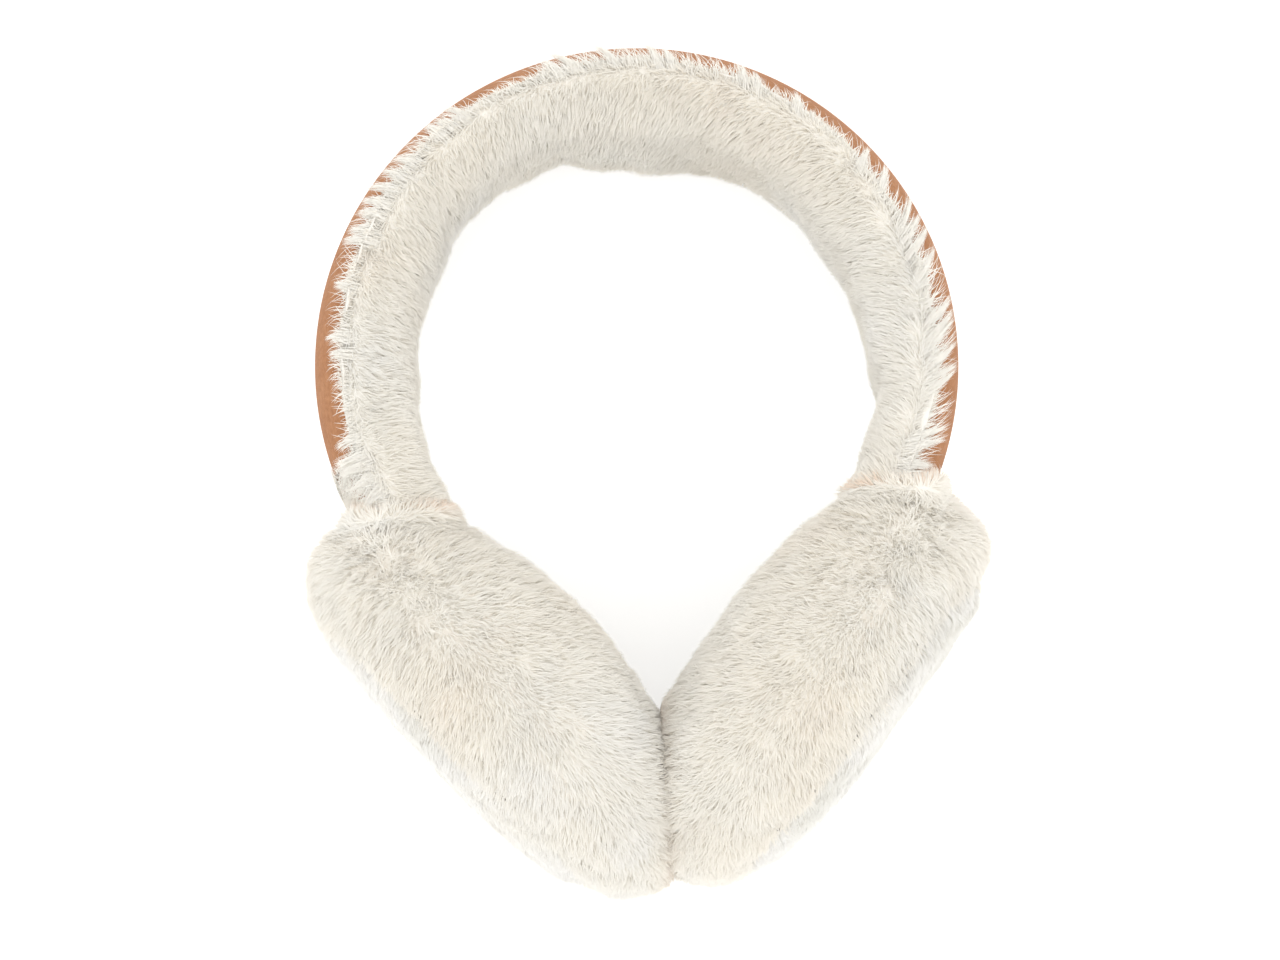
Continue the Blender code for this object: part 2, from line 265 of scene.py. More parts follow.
def corner_normals(places, triangles):
    """Unit normals at the points: the sum of the areas of the triangles that meet there."""
    a, b, c = (places[triangles[:, corner]] for corner in range(3))
    areas = np.cross(b - a, c - a)
    sums = [
        np.bincount(triangles.ravel(), np.repeat(areas[:, axis], 3), len(places))
        for axis in range(3)
    ]
    return facing(np.stack(sums, axis=-1))


suede_finish, suede_shader, suede_places = finish(
    "suede",
    {"Roughness": 0.9, "Specular IOR Level": 0.15, "Sheen Weight": 0.06, "Sheen Roughness": 0.5},
)
nap_grain = suede_places.noise(1500.0, detail=3.0, roughness=0.7)
brushed = suede_places.noise(95.0, detail=3.0, roughness=0.6).clamped(0.35, 0.68)
fibres = suede_places.noise(620.0, detail=4.0, roughness=0.75).clamped(0.32, 0.70)
suede_colour = brushed.between(SUEDE_TAN, SUEDE_LIGHT)
suede_colour = (fibres * 0.75).between(suede_colour, SUEDE_DARK)
suede_colour.feed(suede_shader, "Base Color")
nap = nap_grain + fibres * 0.6 + brushed * 0.5
nap_bump = nap.node("Bump", {}, {"Strength": 0.5, "Distance": 0.00025, "Height": nap})
nap_bump.feed(suede_shader, "Normal")

suede_across = np.linspace(-SUEDE_WIDTH / 2, SUEDE_WIDTH / 2, SUEDE_COLUMNS)
suede_ring = np.concatenate([suede_across, suede_across[::-1]])
suede_radii = suede_radius(suede_across)
suede_radii = np.concatenate([suede_radii, suede_radii[::-1] - SUEDE_WALL])
suede_angles = np.linspace(*SUEDE_ENDS, SUEDE_STATIONS)
suede_points, suede_triangles = shell(polar(suede_angles[:, None], suede_radii, suede_ring))
suede_cover = mesh_of("suede_cover", laid(suede_points), suede_triangles, suede_finish)
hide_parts("suede_band")
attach(suede_cover, "root")


# Fleece lining of the band. The skin of the sheepskin lies against the suede and its deep pile
# faces the head, rolls over both edges of the suede, and is gathered into soft tufts.

FLEECE_PILE = 0.0193
FLEECE_HALF = 0.0205
SEWN_GAP = 0.0003
FLEECE_BACK = BAND_RADIUS - SUEDE_WALL - SEWN_GAP  # radius at which the skin meets the suede
UNDER_PILE = 0.0002  # the lining's skin lies this far under the solid's surface
LIP_SHARE = 0.06  # of the edge locks' reach, that the body itself has
LIP_OUT = 0.0014  # the lip stands this far beyond the suede's edge
LIP_WAVE = 0.0009  # the cut edge wanders this far to both sides
LIP_WAVE_STEP = 0.006
LIP_SINK = 0.0012  # how much deeper the skin lies near the lip
LIP_FROM, LIP_EASE = 0.45, 0.15  # depth share where that starts, and over how much it grows
BAND_STATIONS = 420
BAND_SPLITS = 4
TUFT = 0.0085  # from one tuft of wool to the next
TUFT_RISE = 0.0009
SMALL_TUFT = TUFT * 0.45
SMALL_SHARE = 0.32  # of the rise that the small tufts have
WAVE = 0.024
WAVE_RISE = 0.0009
UNDER_WOOL = (0.95, 0.925, 0.865, 1)
WOOL_ROOT = (0.94, 0.89, 0.815, 1)
WOOL_TINTS = [  # from the peach of painted shade in the creases, through cream, to a cool white, and last a greyer cream of painted shade
    (0.00, (0.94, 0.78, 0.64)),
    (0.22, (0.94, 0.875, 0.785)),
    (0.45, (0.95, 0.912, 0.83)),
    (0.70, (0.95, 0.927, 0.865)),
    (0.86, (0.945, 0.935, 0.905)),
    # the last stop, a greyer cream, is painted shade: the outer panel under the cushion's overhang
    (1.00, (0.87, 0.857, 0.80)),
]

# Depth of the pile round the band: shares of FLEECE_PILE on its upper and its lower half
Pile = namedtuple("Pile", "angle upper lower")
PILES = [
    Pile(-35, 0.74, 0.74),
    Pile(-20, 0.80, 0.80),
    Pile(-10, 0.74, 0.76),
    Pile(2, 0.91, 0.90),
    Pile(18, 0.94, 0.94),
    Pile(35, 1.03, 1.00),
    Pile(60, 1.02, 1.02),
    Pile(74, 1.04, 1.14),
    Pile(86, 1.04, 1.28),
    Pile(98, 1.00, 1.14),
    Pile(110, 0.94, 0.90),
    Pile(142, 0.91, 0.90),
    Pile(155, 0.98, 0.98),
    Pile(180, 0.99, 0.99),
    Pile(200, 0.96, 0.96),
    Pile(212, 0.91, 0.91),
    Pile(226, 0.80, 0.80),
]

# The edge locks round the band: how far they reach over the suede's slope, where 0 leaves it
# bare and 1 hides it, and how much they lean round the band for each way outwards
Spill = namedtuple("Spill", "angle share lean")
SPILLS = [
    Spill(-24, 0.60, 0.80),
    Spill(-20, 0.98, 0.90),
    Spill(-14, 0.95, 1.00),
    Spill(-10, 0.55, 1.00),
    Spill(-4, 0.60, 1.10),
    Spill(2, 0.88, 1.10),
    Spill(8, 0.80, 1.00),
    Spill(18, 0.70, 0.90),
    Spill(25, 0.62, 0.80),
    Spill(30, 0.30, 0.80),
    Spill(44, 0.30, 0.75),
    Spill(49, 0.14, 0.70),
    Spill(64, 0.10, 0.60),
    Spill(70, 0.42, 0.60),
    Spill(78, 0.62, 0.60),
    Spill(83, 0.30, 0.60),
    Spill(87, 0.34, 0.60),
    Spill(91, 0.82, 0.60),
    Spill(103, 0.80, 0.60),
    Spill(108, 0.42, 0.50),
    Spill(112, 0.12, 0.50),
    Spill(122, 0.12, 0.40),
    Spill(127, 0.70, 0.40),
    Spill(137, 0.68, 0.35),
    Spill(142, 0.42, 0.30),
    Spill(151, 0.62, 0.20),
    Spill(158, 0.50, 0.10),
    Spill(168, 0.38, 0.00),
    Spill(176, 0.20, -0.10),
    Spill(190, 0.18, -0.10),
    Spill(197, 0.30, 0.00),
    Spill(201, 0.95, 0.00),
    Spill(214, 1.00, 0.00),
]

# Half of the section, from the head's side outwards, as shares of the half width and the pile
FleecePoint = namedtuple("FleecePoint", "across deep")
FLEECE_SECTION = [
    FleecePoint(0.00, 1.00),
    FleecePoint(0.38, 0.98),
    FleecePoint(0.72, 0.91),
    FleecePoint(0.93, 0.72),
    FleecePoint(1.00, 0.46),
    FleecePoint(0.97, 0.22),
]

# The pads: the side of X, the angles at which the band's fleece ends in the pad, at the head's
# side and at the suede, where that end sits, as shares of half the length and of the rise, and
# how far the skin lies under the solid's surface: on the ear's side, elsewhere at the band's end
# and at the other end, and how much more at that end's tip. bulge is how far the outer side comes
# out at that other end
Pad = namedtuple(
    "Pad",
    "name side end_inner end_outer pocket_along pocket_in "
    "under_ear under_top under_low under_tip bulge",
)
LEFT = Pad("left", -1, 222.3, 212.9, -0.763, 0.455, 0.0036, 0.0004, 0.0004, 0.0035, 0.0021)
RIGHT = Pad("right", 1, -32.7, -26.5, -0.768, 0.55, 0.0028, 0.0034, 0.0008, 0.0028, 0.0002)


def from_table(rows, column, angles):
    """A table's column at each angle, eased from row to row by a half cosine."""
    known = np.array([row.angle for row in rows], float)
    shares = np.array([getattr(row, column) for row in rows], float)
    at = np.clip(np.searchsorted(known, angles) - 1, 0, len(known) - 2)
    along = np.clip((angles - known[at]) / (known[at + 1] - known[at]), 0, 1)
    ease = (1 - np.cos(np.pi * along)) / 2
    return shares[at] * (1 - ease) + shares[at + 1] * ease


def end_at(pad, deep):
    """The angle at which the band's fleece ends in a pad, at a share of the pile's depth."""
    return pad.end_outer + (pad.end_inner - pad.end_outer) * deep


def depth_share(points):
    """How deep the points are in the pile: 0 at the suede, 1 at the head's side."""
    return (FLEECE_BACK - np.hypot(points[:, 0], points[:, 1])) / FLEECE_PILE


def pile_at(angles, side):
    """Depth of the pile, from the lower (-1) to the upper half (1)."""
    upper, lower = (from_table(PILES, half, angles) for half in ("upper", "lower"))
    return FLEECE_PILE * ((1 + side) * upper + (1 - side) * lower) / 2


def lattice(cells, seed):
    """Four random numbers from 0 to 1 for each cell of a cubic lattice, picked from a seeded
    table by a sum of the cell's indices times large primes."""
    table = np.random.default_rng(seed).random((4096, 4))
    index = (cells * np.array([73856093, 19349663, 83492791])).sum(axis=-1)
    return table[index % 4096]


def rolling(points, spacing, seed):
    """Smooth noise from -1 to 1: random heights at the corners of a lattice, eased between."""
    base = np.floor(points / spacing).astype(np.int64)
    part = points / spacing - base
    part = part * part * (3 - 2 * part)
    total = np.zeros(len(points))
    for corner in np.ndindex(2, 2, 2):
        weight = np.where(corner, part, 1 - part).prod(axis=-1)
        total += weight * lattice(base + corner, seed)[..., 3]
    return 2 * total - 1


def tuft_of(points, spacing, seed):
    """The nearest tuft's centre, its random numbers, and the distance to it as a share of the
    spacing. Each cell of a lattice holds one centre, moved at random within the cell."""
    base = np.floor(points / spacing).astype(np.int64)
    nearest = np.full(len(points), np.inf)
    centres = np.zeros((len(points), 3))
    numbers = np.zeros((len(points), 4))
    for step in np.ndindex(3, 3, 3):
        cells = base + np.array(step) - 1
        random = lattice(cells, seed)
        centre = (cells + random[..., :3]) * spacing
        away = np.linalg.norm(points - centre, axis=-1)
        closer = away < nearest
        nearest = np.where(closer, away, nearest)
        centres[closer] = centre[closer]
        numbers[closer] = random[closer]
    return centres, numbers, nearest / spacing


def tuft_height(away):
    """A tuft's height over the mean: it falls with the square of the distance from its centre."""
    return 0.45 - 1.3 * np.minimum(away, 1) ** 2


def fleece_relief(points, seed):
    """Height of the fleece: rounded tufts of two sizes, on long waves."""
    tufts = TUFT_RISE * tuft_height(tuft_of(points, TUFT, seed)[2])
    small = TUFT_RISE * SMALL_SHARE * tuft_height(tuft_of(points, SMALL_TUFT, seed + 1)[2])
    return tufts + small + WAVE_RISE * rolling(points, WAVE, seed + 2)


def pressed(points, gap=0.0):
    """Points that would be below the table, or the gap over it, raised. In the band's frame."""
    up = np.array([0.0, -np.sin(BAND_TILT), np.cos(BAND_TILT)])
    below = np.minimum(points @ up + BAND_CENTRE[2] - gap, 0)
    return points - below[..., None] * up


def rounded(ring, splits):
    """A closed ring of points along axis 1, with points added on a Catmull-Rom spline."""
    before, at = np.roll(ring, 1, axis=1), ring
    after, beyond = np.roll(ring, -1, axis=1), np.roll(ring, -2, axis=1)
    added = []
    for step in range(splits):
        t = step / splits
        added.append(
            at
            + (after - before) * t / 2
            + (before - 2.5 * at + 2 * after - beyond / 2) * t**2
            + (1.5 * (at - after) + (beyond - before) / 2) * t**3
        )
    return np.stack(added, axis=2).reshape(len(ring), -1, ring.shape[2])


def fleece_ring(side):
    """One half of the lining's section at every station, from the head's side outwards: points
    and, as a fourth number, 1 where the pile is free and 0 where it lies on the suede."""
    edge = SUEDE_WIDTH / 2
    columns = []
    for point in FLEECE_SECTION:
        angles = np.linspace(end_at(RIGHT, point.deep), end_at(LEFT, point.deep), BAND_STATIONS)
        radii = FLEECE_BACK - pile_at(angles, side * point.across) * point.deep
        columns.append((polar(angles, radii, side * FLEECE_HALF * point.across), 1))
    angles = np.linspace(RIGHT.end_outer, LEFT.end_outer, BAND_STATIONS)
    tips = suede_radius(edge) + SUEDE_CROWN * LIP_SHARE * from_table(SPILLS, "share", angles)
    tips += LIP_WAVE * rolling(polar(angles, BAND_RADIUS, side * edge), LIP_WAVE_STEP, 7)
    columns.append((polar(angles, tips, side * (edge + LIP_OUT)), 1))
    for across, near in ((edge + SEWN_GAP, edge), (edge * 0.75, edge * 0.75), (edge / 2, edge / 2)):
        radius = suede_radius(near) - SUEDE_WALL - SEWN_GAP
        columns.append((polar(angles, radius, side * across), 0))
    return [
        np.concatenate([points, np.full((len(points), 1), free)], axis=1)
        for points, free in columns
    ]


middle_angles = np.linspace(RIGHT.end_outer, LEFT.end_outer, BAND_STATIONS)
fleece_middle = polar(middle_angles, FLEECE_BACK, 0)
fleece_middle = np.concatenate([fleece_middle, np.zeros((BAND_STATIONS, 1))], axis=1)
lining_rings = np.stack(fleece_ring(1) + [fleece_middle] + fleece_ring(-1)[:0:-1], axis=1)
lining_rings = rounded(lining_rings, BAND_SPLITS)
lining_free = np.clip(np.append(lining_rings[..., 3].ravel(), [0, 0]), 0, 1)
lining_points, lining_triangles = shell(lining_rings[..., :3])
lining_normals = corner_normals(lining_points, lining_triangles)
lining_relief = fleece_relief(lining_points, seed=5) - UNDER_PILE
near_lip = rising(LIP_FROM - depth_share(lining_points), LIP_EASE)
lining_relief = lining_relief - LIP_SINK * near_lip

fleece_constants = {
    "Roughness": 1.0,
    "Specular IOR Level": 0.05,
    "Sheen Weight": 0.12,
    "Sheen Roughness": 0.7,
}
under_finish, under_shader, under_places = finish("under_fleece", fleece_constants)
under_patch = under_places.noise(55.0, detail=3.0).clamped(0.35, 0.65)
under_tuft = under_places.noise(420.0, detail=4.0, roughness=0.7)
under_patch.between(WOOL_ROOT, UNDER_WOOL).feed(under_shader, "Base Color")
bump = under_tuft.node("Bump", {}, {"Strength": 0.6, "Distance": 0.0006, "Height": under_tuft})
bump.feed(under_shader, "Normal")


# Ear pads. Each is a thick oval cushion of fleece on the ear's side and a shallow outer panel,
# sewn together at a pulled-in seam. The end of the band sits in a pocket of the cushion, and
# the two pads lean together and flatten where they meet.

PAD_LENGTH = 0.108
PAD_DEPTH = 0.085
EAR_SIDE_RISE = 0.0233
OUTER_SIDE_RISE = 0.0233
OUTER_PANEL = 0.0038  # depth of the outer panel, up to the seam
SEAM_PULL = 0.0030
SEAM_SPREAD = 0.0022
SEAM_SHIFT = 0.0014  # the cushion's wool hangs over the seam, which sits this much further out
RIM_POWER = 2.1
EAR_SIDE_POWER = 2.3
OUTER_SIDE_POWER = 3.6
MEETING_X = 0.0069
MEETING_PRESS = 0.0090
POCKET_GAP = 0.0003
NECK_TURN = 11.0  # degrees back from the band's end to where the pads' wool is combed away from
POCKET_REACH = 30.0  # degrees
POCKET_STATIONS = 24
PAD_COLUMNS = 180
CUSHION_ROWS = 84
OUTER_ROWS = 34
PROFILE_STEPS = 900
UNDER_RESTING = 0.012  # below this height over the table, the skin is sunk less
UNDER_FROM, UNDER_EASE = 1.10, 0.30  # the same by the band, in shares of its half section
RELIEF_FROM, RELIEF_EASE = 1.05, 0.20  # where the pads' tufts begin there, and over how much
PAD_EASE = 0.12  # share of a pad's form over which the lining's tufts begin
BULGE_EDGE = 0.012  # from the pads' middle plane to where the bulge is full
WALL_AT_MEETING = 0.0002  # from the plane where the pads meet to each body
NOTCH_REACH = 0.016  # of the notch between the pads' ear sides, where the wool is squeezed
NOTCH_SINK = 0.0022
FAR_OUT = 9.0  # stands for all places past the ends of the band


class PadForm:
    """Where one pad lies, and the shape that both of its panels share. A panel's point is the
    centre, plus a share of the oval outline, plus a height on the axis towards the ear."""

    def __init__(self, pad):
        self.pad = pad
        self.half_length = PAD_LENGTH / 2
        self.half_depth = PAD_DEPTH / 2
        steep, flat = np.radians(85.0), np.radians(5.0)
        while steep - flat > 1e-6:
            lean = (steep + flat) / 2
            self.lean(lean)
            if self.past_meeting() > MEETING_PRESS:
                flat = lean
            else:
                steep = lean

    def lean(self, angle):
        """Lays the long axis this far below X, with the band's end in its pocket. The neck is
        the point that the pad's wool is combed away from."""
        side = self.pad.side
        self.long_axis = np.array([-side * np.cos(angle), -np.sin(angle), 0.0])
        self.ear_axis = np.array([-side * np.sin(angle), np.cos(angle), 0.0])
        end = (self.pad.end_inner + self.pad.end_outer) / 2
        band_end = polar(end, BAND_RADIUS - SUEDE_WALL - FLEECE_PILE / 2, 0)
        along = self.pad.pocket_along * self.half_length
        self.centre = (
            band_end - self.long_axis * along - self.ear_axis * self.pad.pocket_in * EAR_SIDE_RISE
        )
        self.neck = polar(end + side * NECK_TURN, np.hypot(*band_end[:2]), 0)

    def past_meeting(self):
        """How far the pad would reach past the plane where the two meet."""
        reach = np.hypot(self.half_length * self.long_axis[0], EAR_SIDE_RISE * self.ear_axis[0])
        return self.pad.side * (MEETING_X - self.centre[0]) + reach

    def profile(self, ear_side, rows):
        """Shares of the outline and heights, from a panel's middle to the seam, evenly spaced
        along two superellipses with a groove at the seam."""
        turn = np.linspace(0, np.pi / 2, PROFILE_STEPS)
        ear_share, ear_height = np.array([np.sin(turn), np.cos(turn)]) ** (2 / EAR_SIDE_POWER)
        out_share, out_height = np.array([np.sin(turn), np.cos(turn)]) ** (2 / OUTER_SIDE_POWER)
        share = np.concatenate([ear_share, out_share[-2::-1]])
        height = np.concatenate([EAR_SIDE_RISE * ear_height, -OUTER_SIDE_RISE * out_height[-2::-1]])
        seam = OUTER_PANEL - OUTER_SIDE_RISE
        mean = (self.half_length + self.half_depth) / 2
        share = share * (1 - SEAM_PULL / mean * np.exp(-(((height - seam) / SEAM_SPREAD) ** 2)))
        if ear_side:
            kept = height >= seam + SEWN_GAP / 2
        else:
            kept = height <= seam - SEWN_GAP / 2
            kept, share, height = kept[::-1], share[::-1], height[::-1]
        share, height = share[kept], height[kept]
        length = np.append(0, np.cumsum(np.hypot(np.diff(share * mean), np.diff(height))))
        even = np.linspace(0, length[-1], rows + 1)
        return np.interp(even, length, share), np.interp(even, length, height)

    def rings(self, ear_side, rows):
        """The panel's rings, from close to its middle out to the seam."""
        share, height = self.profile(ear_side, rows)
        turn = np.linspace(0, 2 * np.pi, PAD_COLUMNS, endpoint=False)
        along = self.half_length * np.sign(np.cos(turn)) * np.abs(np.cos(turn)) ** (2 / RIM_POWER)
        deep = self.half_depth * np.sign(np.sin(turn)) * np.abs(np.sin(turn)) ** (2 / RIM_POWER)
        outline = along[:, None] * self.long_axis + deep[:, None] * np.array([0.0, 0.0, 1.0])
        middles = self.centre + height[1:, None] * self.ear_axis
        return middles[:, None, :] + share[1:, None, None] * outline

    def past_band(self, points):
        """0 in the quarter of the pad that holds the band, growing to 1 just past the middle."""
        along = (points - self.centre) @ self.long_axis / self.half_length
        return rising(along + 0.5, 0.6)

    def bulge_at(self, points):
        """How far the outer side comes out."""
        return self.pad.bulge * self.past_band(points)

    def bulged(self, points):
        """Points of the outer side moved out, and those at the seam by a little more."""
        height = (points - self.centre) @ self.ear_axis
        at_seam = np.exp(-(((height - OUTER_PANEL + OUTER_SIDE_RISE) / SEAM_SPREAD) ** 2))
        out = self.bulge_at(points) * rising(-height, BULGE_EDGE) + SEAM_SHIFT * at_seam
        return points - out[:, None] * self.ear_axis

    def inside(self, points):
        """Under 1 inside the pad: the superellipses' power sum of the outline's share and of
        the height over the rise."""
        away = points - self.centre
        along = np.abs(away @ self.long_axis) / self.half_length
        deep = np.abs(away[..., 2]) / self.half_depth
        height = away @ self.ear_axis
        share = (along**RIM_POWER + deep**RIM_POWER) ** (1 / RIM_POWER)
        power = np.where(height > 0, EAR_SIDE_POWER, OUTER_SIDE_POWER)
        return share**power + (np.abs(height) / EAR_SIDE_RISE) ** power

    def kept_apart(self, points, gap):
        """Points moved back to their own side of the plane where the pads meet."""
        side = self.pad.side
        points = points.copy()
        points[..., 0] = side * np.maximum(side * points[..., 0], side * MEETING_X + gap)
        return points


def in_band(points):
    """Under 1 inside the band's fleece: the fourth root of the sum of the fourth powers of
    the shares of its half width and half depth. Past the ends of the band it is large."""
    angles = turn_of(points)
    radii = np.hypot(points[..., 0], points[..., 1])
    side = np.clip(points[..., 2] / FLEECE_HALF, -1, 1)
    pile = pile_at(angles, side)
    deep = (BAND_RADIUS - radii) / (pile + SUEDE_WALL)
    width = np.abs(points[..., 2]) / FLEECE_HALF
    middle = np.abs(2 * deep - 1)
    inside = (width**4 + middle**4) ** 0.25
    first, last = (end_at(pad, np.clip(deep, 0, 1)) for pad in (RIGHT, LEFT))
    return np.where((angles > first) & (angles < last), inside, FAR_OUT)


def pocket_cutter(pad):
    """The space that the band's end takes in a pad: the suede's crown and the fleece's section
    with a clearance all round, carried back along the band."""
    reach = POCKET_REACH * np.linspace(0, 1, POCKET_STATIONS)
    over = np.degrees(POCKET_GAP / BAND_RADIUS)
    half = FLEECE_HALF + POCKET_GAP
    edge = SUEDE_WIDTH / 2
    slope = [(edge * share, 0) for share in (0, 0.35, 0.7, 1)] + [(edge + LIP_OUT, 0)]
    flank = slope + [(half * point.across, point.deep) for point in FLEECE_SECTION[::-1]]
    suede_end = SUEDE_ENDS[0] if pad.side > 0 else SUEDE_ENDS[1]
    columns = []
    for across, deep in flank + [(-across, deep) for across, deep in flank[-2:0:-1]]:
        end = pad.side * min(pad.side * end_at(pad, deep), pad.side * suede_end)
        angles = end + pad.side * (reach - over)
        depth = SUEDE_WALL + pile_at(angles, across / half) + 2 * POCKET_GAP
        outer = BAND_RADIUS
        if deep == 0:
            outer = suede_radius(min(abs(across), edge)) + LIP_WAVE * (abs(across) > edge)
        columns.append(polar(angles, outer + POCKET_GAP - depth * deep, across))
    points, triangles = shell(np.stack(columns, axis=1))
    return mesh_of(f"{pad.name}_pocket_cutter", laid(points), triangles, under_finish)


def cut_pocket(piece, pad):
    """Takes the pocket out of a pad's body for good."""
    cutter = pocket_cutter(pad)
    modifier = piece.modifiers.new("pocket", "BOOLEAN")
    modifier.operation = "DIFFERENCE"
    modifier.object = cutter
    graph = bpy.context.evaluated_depsgraph_get()
    cut = bpy.data.meshes.new_from_object(piece.evaluated_get(graph))
    piece.modifiers.clear()
    piece.data = cut
    bpy.data.objects.remove(cutter)


def pad_body(form, ear_side):
    """Makes one fleece panel's body, and gives back its points and triangles uncut, with 1 for
    each point that wool may stand by and 0 for the one in the middle of the seam's plane. The
    ring at the seam takes the normals of the ring before it, as the closing fan turns its own."""
    points, triangles = shell(form.rings(ear_side, CUSHION_ROWS if ear_side else OUTER_ROWS))
    seam_point = len(points) - 1
    free = np.ones(len(points))
    free[seam_point] = 0
    normals = corner_normals(points, triangles)
    rim = slice(seam_point - 1 - PAD_COLUMNS, seam_point - 1)
    normals[rim] = normals[rim.start - PAD_COLUMNS : rim.start]
    relief = fleece_relief(points, seed=20 + 3 * form.pad.side)
    pad = form.pad
    under = pad.under_top + (pad.under_low - pad.under_top) * form.past_band(points)
    to_meeting = np.clip(1 - np.abs(points[:, 0] - MEETING_X) / NOTCH_REACH, 0, 1)
    at_tip = np.clip(normals @ form.long_axis, 0, 1) ** 1.5 * (1 - to_meeting)
    under = under + pad.under_tip * at_tip
    if ear_side:
        towards_ear = np.clip((points - form.centre) @ form.ear_axis / EAR_SIDE_RISE + 0.3, 0, 1)
        under = under + (pad.under_ear + NOTCH_SINK * to_meeting - under) * towards_ear
    out_of_band = in_band(points)
    under = under * rising(out_of_band - UNDER_FROM, UNDER_EASE)
    relief -= under * rising(laid(points)[:, 2], UNDER_RESTING)
    relief = relief * free * rising(out_of_band - RELIEF_FROM, RELIEF_EASE)
    points = pressed(form.bulged(points + normals * relief[:, None]))
    points = form.kept_apart(points, WALL_AT_MEETING)
    panel = "cushion" if ear_side else "outer_panel"
    body = mesh_of(f"{form.pad.name}_{panel}_body", laid(points), triangles, under_finish)
    if ear_side:
        cut_pocket(body, form.pad)
    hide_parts(f"{form.pad.name}_pad_{panel}")
    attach(body, "root")
    return points, triangles, free


forms = [PadForm(LEFT), PadForm(RIGHT)]
out_of_pads = np.minimum(*[form.inside(lining_points) for form in forms])
raised = lining_relief * lining_free * rising(out_of_pads - 1.0, PAD_EASE)
lining_points = pressed(lining_points + lining_normals * raised[:, None])
lining = mesh_of("band_lining", laid(lining_points), lining_triangles, under_finish)
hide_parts("band_fleece")
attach(lining, "root")

panels = [
    (form, ear_side, *pad_body(form, ear_side)) for form in forms for ear_side in (True, False)
]


# Wool of the pads and the lining. Fine fibres stand on the skin, lean with the nap and close
# into tufts. A blade is two corners at each point of its spine and one at its tip. Its map has
# the fibre's tint across and its length upwards, and the finish reads its colour from that map.

WOOL_DENSITY = 3.9e6  # blades a square metre
WOOL_LENGTH = 0.0044
WOOL_WIDTH = 0.00033
WOOL_RISES = (46.0, 16.0)  # degrees over the skin, of the lower and the upper half
WOOL_SPREADS = (0.23, 0.6)  # how far single fibres and small tufts stray from their lay
WOOL_ROLL = 0.22  # radians that a blade is turned about its own length
WOOL_CLOSING = 0.14  # share of the way that the tips go to the tuft's middle
ROOT_SHARE = 0.25  # of the root's colour at the skin
TINT_MIDDLE, TINT_MOST, TINT_PAINTED_SHADE = 0.58, 0.82, 0.55  # the last is what the painted shade of a crease takes off
TINT_SPREADS = (0.22, 0.10, 0.04)  # of patches, tufts and single fibres
TINT_PATCH = 0.021
TINT_ACROSS = 0.012  # to each side of a blade
BLADE_TAPER = 0.45
TABLE_GAP = 0.00015

wool_finish, wool_shader, wool_places = finish("wool", fleece_constants)
wool_map = wool_places.node("UVMap", {"uv_map": "OFBake"}, {})
tint, height = (wool_map.node("SeparateXYZ", {}, {"Vector": wool_map}, axis) for axis in (0, 1))
wool_colour = tint.node("ValToRGB", {"stops": WOOL_TINTS}, {"Fac": tint})
root_share = (1 - height) ** 1.5 * ROOT_SHARE
root_share.between(wool_colour, WOOL_ROOT).feed(wool_shader, "Base Color")


def strewn(points, triangles, keep, density, seed):
    """Random places on the triangles whose corners are all kept, so many to the area, with the
    surface's normals there. A place is a mix of its corners by two random numbers."""
    rng = np.random.default_rng(seed)
    triangles = triangles[keep[triangles].min(axis=1) > 0]
    corners = points[triangles]
    crossed = np.cross(corners[:, 1] - corners[:, 0], corners[:, 2] - corners[:, 0])
    areas = np.linalg.norm(crossed, axis=1) / 2
    chosen = rng.choice(len(triangles), int(areas.sum() * density), p=areas / areas.sum())
    first, second = rng.random((2, len(chosen), 1))
    over = first + second > 1
    first, second = np.where(over, 1 - first, first), np.where(over, 1 - second, second)
    shares = np.concatenate([1 - first - second, first, second], axis=1)[..., None]
    normals = corner_normals(points, triangles)[triangles[chosen]]
    return (corners[chosen] * shares).sum(axis=1), facing((normals * shares).sum(axis=1))


def blades(name, spines, sides, tints):
    """Flat blades round the spines: at each point but the tip, corners to both sides, which
    narrow towards the tip."""
    count, points = spines.shape[:2]
    taper = np.linspace(1, BLADE_TAPER, points - 1)[None, :, None] * sides[:, None, :]
    pairs = np.stack([spines[:, :-1] - taper, spines[:, :-1] + taper], axis=2)
    corners = np.concatenate([pairs.reshape(count, -1, 3), spines[:, -1:]], axis=1)
    each = 2 * points - 1
    low = 2 * np.arange(points - 2)[:, None]
    pattern = np.concatenate([low + [1, 0, 2], low + [1, 2, 3], [[each - 2, each - 3, each - 1]]])
    triangles = (each * np.arange(count)[:, None, None] + pattern).reshape(-1, 3)
    corners = pressed(corners.reshape(-1, 3), TABLE_GAP)
    made = mesh_of(name, laid(corners), triangles, wool_finish)
    across = np.append(np.tile([-TINT_ACROSS, TINT_ACROSS], points - 1), 0)
    upwards = np.append(np.repeat(np.arange(points - 1), 2), points - 1) / (points - 1)
    uv = np.empty((count, each, 2), np.float32)
    uv[..., 0] = np.clip(tints, 0.02, 0.98)[:, None] + across
    uv[..., 1] = 0.02 + 0.96 * upwards
    layer = made.data.uv_layers.new(name="OFBake")
    layer.data.foreach_set("uv", uv.reshape(-1, 2)[triangles.ravel()].ravel())
    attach(made, "root")
    return made


def along_surface(vectors, normals):
    """The part of the vectors that lies in the surface, at length 1."""
    return facing(vectors - (vectors * normals).sum(axis=-1, keepdims=True) * normals)


